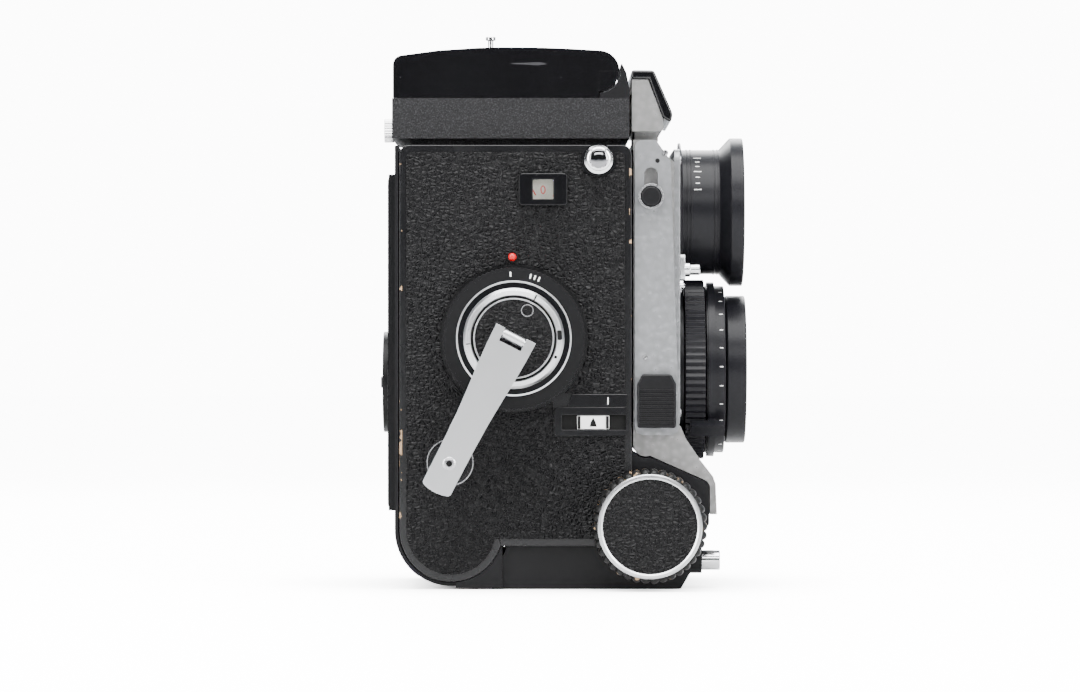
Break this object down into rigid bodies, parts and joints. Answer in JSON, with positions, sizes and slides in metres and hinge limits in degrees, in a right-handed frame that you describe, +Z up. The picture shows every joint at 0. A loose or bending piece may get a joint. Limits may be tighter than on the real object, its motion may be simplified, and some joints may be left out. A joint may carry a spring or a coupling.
{
  "type": "twin lens reflex camera",
  "caption": "Boxy roll-film camera with two stacked lenses, bellows focusing by side knobs, a folding waist-level hood, a fold-out winding crank and a hinged back.",
  "frame": {"origin": "mouth of the tripod socket, on the underside of the base", "axes": "+Z up, -Y the way the lenses look, +Y the back, -X the crank side (the camera's right hand side)"},
  "size_m": [0.116, 0.1153, 0.1738],
  "materials": {
    "body_black": "gloss black enamel",
    "casting": "matt black",
    "leatherette": "pebbled",
    "crackle": "charcoal crackle",
    "lid_black": "gloss black enamel",
    "trim_black": "satin black",
    "lens_black": "satin black anodised",
    "hammertone": "silver grey hammered enamel",
    "chrome": "polished",
    "satin_metal": "satin with polished edges",
    "brass": "machined",
    "knob_black": "black with worn edges",
    "spool_plastic": "matt",
    "cream": "cream enamel",
    "red": "glossy red",
    "rubber": "matt folded cloth",
    "mirror": "front silvered",
    "glass": "coated"
  },
  "bodies": {
    "camera_body": {"body_shell": "casting", "side_covers": "body_black", "leather_panels": "leatherette", "base_housing": "casting", "tripod_bush": "chrome", "reflex_mirror": "mirror", "focusing_screen": "glass", "hood_base": "crackle", "hood_bracket": "trim_black", "counter_bezel": "body_black", "counter_glass": "glass", "index_dot": "red", "strap_lugs": "chrome", "lock_plate": "body_black", "accessory_shoe": "chrome", "hinge_pins": "chrome"},
    "lock_slider": {"lock_slider": "cream"},
    "release_button": {"release_button": "chrome"},
    "counter_dial": {"counter_dial": "cream"},
    "take_up": {"take_up_spool": "spool_plastic", "spool_key": "chrome"},
    "idler": {"idler_gear": "brass"},
    "roller_upper": {"roller_upper": "chrome"},
    "roller_lower": {"roller_lower": "chrome"},
    "spool_knob_upper": {"spool_knob_upper": "chrome"},
    "spool_knob_lower": {"spool_knob_lower": "chrome"},
    "selector_ring": {"selector_ring": "trim_black"},
    "crank_hub": {"crank_hub": "chrome", "crank_leather": "leatherette", "crank_pin": "chrome"},
    "crank_arm": {"crank_arm": "satin_metal"},
    "crank_knob": {"crank_knob": "satin_metal"},
    "hood_lid": {"hood_lid": "lid_black"},
    "magnifier_button": {"magnifier_button": "chrome"},
    "magnifier": {"magnifier_arm": "trim_black", "magnifier_glass": "glass"},
    "hood_panel_left": {"hood_panel_left": "trim_black"},
    "hood_panel_right": {"hood_panel_right": "trim_black"},
    "hood_panel_rear": {"hood_panel_rear": "trim_black"},
    "hood_screw": {"hood_screw": "chrome"},
    "back_door": {"back_door": "trim_black", "pressure_plate": "trim_black"},
    "film_dial": {"film_dial": "trim_black"},
    "door_latch": {"door_latch": "chrome"},
    "front_standard": {"standard_frame": "hammertone", "name_cover": "lid_black", "side_plates": "hammertone", "lens_board": "hammertone", "rails": "satin_metal", "bellows": "rubber", "viewing_barrel": "lens_black", "lens_glass": "glass", "shutter_body": "lens_black", "taking_barrel": "lens_black"},
    "release_slide": {"release_slide": "trim_black"},
    "slot_knob": {"slot_knob": "trim_black"},
    "speed_ring": {"speed_ring": "lens_black"},
    "aperture_lever": {"aperture_lever": "lens_black"},
    "focus_drive": {"focus_gear": "brass", "focus_knobs": "knob_black"}
  },
  "joints": [
    {"name": "crank_turn", "type": "hinge", "parent": "camera_body", "child": "crank_hub", "pos_m": [0, 0.0184, 0.07775], "axis": [1, 0, 0], "range_deg": [0, 360]},
    {"name": "crank_fold", "type": "hinge", "parent": "crank_hub", "child": "crank_arm", "pos_m": [-0.0535, 0.0184, 0.07775], "axis": [0, 0.8894, 0.4571], "range_deg": [0, 180]},
    {"name": "crank_knob_spin", "type": "hinge", "parent": "crank_arm", "child": "crank_knob", "pos_m": [-0.05, 0.03819, 0.03924], "axis": [-1, 0, 0], "continuous": true},
    {"name": "idler_spin", "type": "hinge", "parent": "camera_body", "child": "idler", "pos_m": [-0.036, 0.02894, 0.09475], "axis": [1, 0, 0], "range_deg": [-840.5, 0.5]},
    {"name": "take_up_spin", "type": "hinge", "parent": "camera_body", "child": "take_up", "pos_m": [0, 0.03948, 0.11175], "axis": [1, 0, 0], "range_deg": [0, 360]},
    {"name": "counter_turn", "type": "hinge", "parent": "camera_body", "child": "counter_dial", "pos_m": [-0.038, 0.00935, 0.1165], "axis": [1, 0, 0], "range_deg": [-30.5, 0.5]},
    {"name": "roller_upper_spin", "type": "hinge", "parent": "camera_body", "child": "roller_upper", "pos_m": [0, 0.0506, 0.0985], "axis": [1, 0, 0], "continuous": true},
    {"name": "roller_lower_spin", "type": "hinge", "parent": "camera_body", "child": "roller_lower", "pos_m": [0, 0.0506, 0.0342], "axis": [1, 0, 0], "continuous": true},
    {"name": "spool_knob_upper_pull", "type": "slide", "parent": "camera_body", "child": "spool_knob_upper", "axis": [1, 0, 0], "range_m": [0, 0.005]},
    {"name": "spool_knob_lower_pull", "type": "slide", "parent": "camera_body", "child": "spool_knob_lower", "axis": [1, 0, 0], "range_m": [0, 0.005]},
    {"name": "selector_turn", "type": "hinge", "parent": "camera_body", "child": "selector_ring", "pos_m": [-0.042, 0.0184, 0.07775], "axis": [1, 0, 0], "range_deg": [0, 25]},
    {"name": "focus_lock", "type": "slide", "parent": "camera_body", "child": "lock_slider", "axis": [0, -1, 0], "range_m": [0, 0.0045]},
    {"name": "front_release", "type": "slide", "parent": "camera_body", "child": "release_button", "axis": [0, 1, 0], "range_m": [0, 0.0022], "stiffness_N_per_m": 300},
    {"name": "hood_open", "type": "hinge", "parent": "camera_body", "child": "hood_lid", "pos_m": [0, -0.00806, 0.161], "axis": [1, 0, 0], "range_deg": [0, 90]},
    {"name": "magnifier_swing", "type": "hinge", "parent": "hood_lid", "child": "magnifier", "pos_m": [0, 0.044, 0.1615], "axis": [1, 0, 0], "range_deg": [0, 90]},
    {"name": "magnifier_release", "type": "slide", "parent": "hood_lid", "child": "magnifier_button", "axis": [0, 0, -1], "range_m": [0, 0.0015], "stiffness_N_per_m": 200},
    {"name": "hood_panel_left_fold", "type": "hinge", "parent": "camera_body", "child": "hood_panel_left", "pos_m": [0.0323, 0, 0.1432], "axis": [0, 1, 0], "range_deg": [0, 90]},
    {"name": "hood_panel_right_fold", "type": "hinge", "parent": "camera_body", "child": "hood_panel_right", "pos_m": [-0.0323, 0, 0.1432], "axis": [0, -1, 0], "range_deg": [0, 90]},
    {"name": "hood_panel_rear_fold", "type": "hinge", "parent": "camera_body", "child": "hood_panel_rear", "pos_m": [0, 0.0532, 0.1505], "axis": [-1, 0, 0], "range_deg": [0, 90]},
    {"name": "hood_screw_turn", "type": "hinge", "parent": "camera_body", "child": "hood_screw", "pos_m": [0, 0.057, 0.1439], "axis": [0, 1, 0], "continuous": true},
    {"name": "back_open", "type": "hinge", "parent": "camera_body", "child": "back_door", "pos_m": [0, 0.02697, 0.00325], "axis": [-1, 0, 0], "range_deg": [0, 95]},
    {"name": "film_dial_turn", "type": "hinge", "parent": "back_door", "child": "film_dial", "pos_m": [0, 0.058, 0.064], "axis": [0, 1, 0], "range_deg": [0, 180]},
    {"name": "latch_slide", "type": "slide", "parent": "camera_body", "child": "door_latch", "axis": [0, 0, 1], "range_m": [0, 0.0045]},
    {"name": "focus_slide", "type": "slide", "parent": "camera_body", "child": "front_standard", "axis": [0, -1, 0], "range_m": [0, 0.044], "deforming": ["bellows"]},
    {"name": "focus_turn", "type": "hinge", "parent": "camera_body", "child": "focus_drive", "pos_m": [0, -0.0235, 0.0199], "axis": [1, 0, 0], "range_deg": [0, 458.5]},
    {"name": "shutter_release", "type": "slide", "parent": "front_standard", "child": "release_slide", "axis": [0, 0, -1], "range_m": [0, 0.004], "stiffness_N_per_m": 150},
    {"name": "slot_knob_slide", "type": "slide", "parent": "front_standard", "child": "slot_knob", "axis": [0, 0, 1], "range_m": [0, 0.007]},
    {"name": "speed_turn", "type": "hinge", "parent": "front_standard", "child": "speed_ring", "pos_m": [0, -0.038, 0.068], "axis": [0, -1, 0], "range_deg": [0, 270]},
    {"name": "aperture_turn", "type": "hinge", "parent": "front_standard", "child": "aperture_lever", "pos_m": [0, -0.043, 0.068], "axis": [0, 1, 0], "range_deg": [0, 50]}
  ],
  "couplings": [
    {"joint": "idler_spin", "follows": "crank_turn", "ratio": -2.3333},
    {"joint": "take_up_spin", "follows": "crank_turn", "ratio": 1},
    {"joint": "counter_turn", "follows": "crank_turn", "ratio": -0.083333},
    {"joint": "magnifier_swing", "follows": "hood_open", "ratio": 1},
    {"joint": "hood_panel_left_fold", "follows": "hood_open", "ratio": 1},
    {"joint": "hood_panel_right_fold", "follows": "hood_open", "ratio": 1},
    {"joint": "hood_panel_rear_fold", "follows": "hood_open", "ratio": 1},
    {"joint": "focus_turn", "follows": "focus_slide", "rad_per_m": 181.82}
  ]
}
